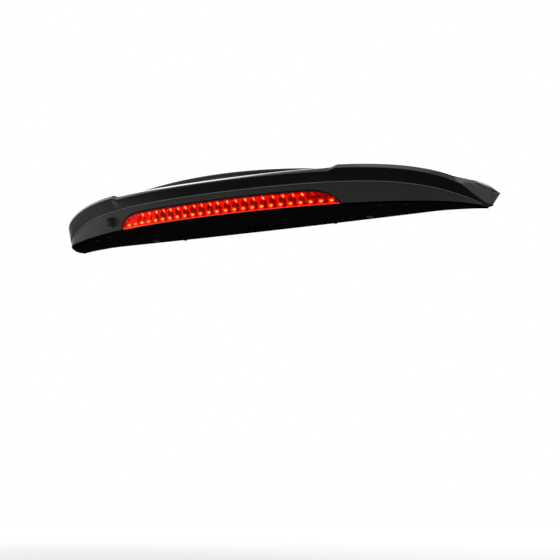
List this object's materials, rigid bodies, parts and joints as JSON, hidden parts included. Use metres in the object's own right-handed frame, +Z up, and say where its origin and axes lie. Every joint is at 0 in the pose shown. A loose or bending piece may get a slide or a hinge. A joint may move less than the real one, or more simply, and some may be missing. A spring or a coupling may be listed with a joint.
{
  "type": "roof spoiler with brake light",
  "caption": "Tailgate roof spoiler: grey shell, gloss black lip with a low centre recess, long red brake light along the rear edge, washer jet beside it, threaded fixings below",
  "frame": {"origin": "Middle of the four threaded fixing holes, on the flat land that lies on the tailgate", "axes": "+X is the car's right, along the width; +Y is forward, from the rear lip to the front edge; +Z is up, away from the tailgate"},
  "size_m": [1.1664, 0.2463, 0.1268],
  "materials": {
    "painted_grey": "satin dark grey",
    "gloss_black": "gloss black",
    "gloss_under": "gloss black underside",
    "red_lens": "clear red",
    "red_reflector": "red, moulded with oval pockets",
    "black_plastic": "fine grain",
    "grey_plastic": "satin",
    "foam": "closed-cell foam",
    "rubber": "dull",
    "board_green": "coated board",
    "led_body": "LED body",
    "contact_brass": "plated",
    "dark_steel": "black coated steel",
    "plated_steel": "zinc plated"
  },
  "bodies": {
    "root": {"base_shell": "painted_grey", "lower_shell": "gloss_under", "spoiler_cap": "gloss_black", "cap_tapes": "foam", "lamp_lens": "red_lens", "lamp_housing": "black_plastic", "lamp_gasket": "foam", "lamp_reflector": "red_reflector", "led_board": "board_green", "leds": "led_body", "board_components": "black_plastic", "socket_terminals": "contact_brass", "lamp_screws": "dark_steel", "lamp_pads": "rubber", "jet_body": "grey_plastic", "jet_nozzle": "black_plastic", "jet_gasket": "rubber", "jet_nut": "black_plastic", "jet_barb": "black_plastic", "threaded_inserts": "plated_steel", "mounting_plates": "plated_steel", "locating_pins": "black_plastic", "side_buffers": "rubber", "front_seal": "rubber", "push_rivets": "black_plastic"}
  },
  "joints": []
}
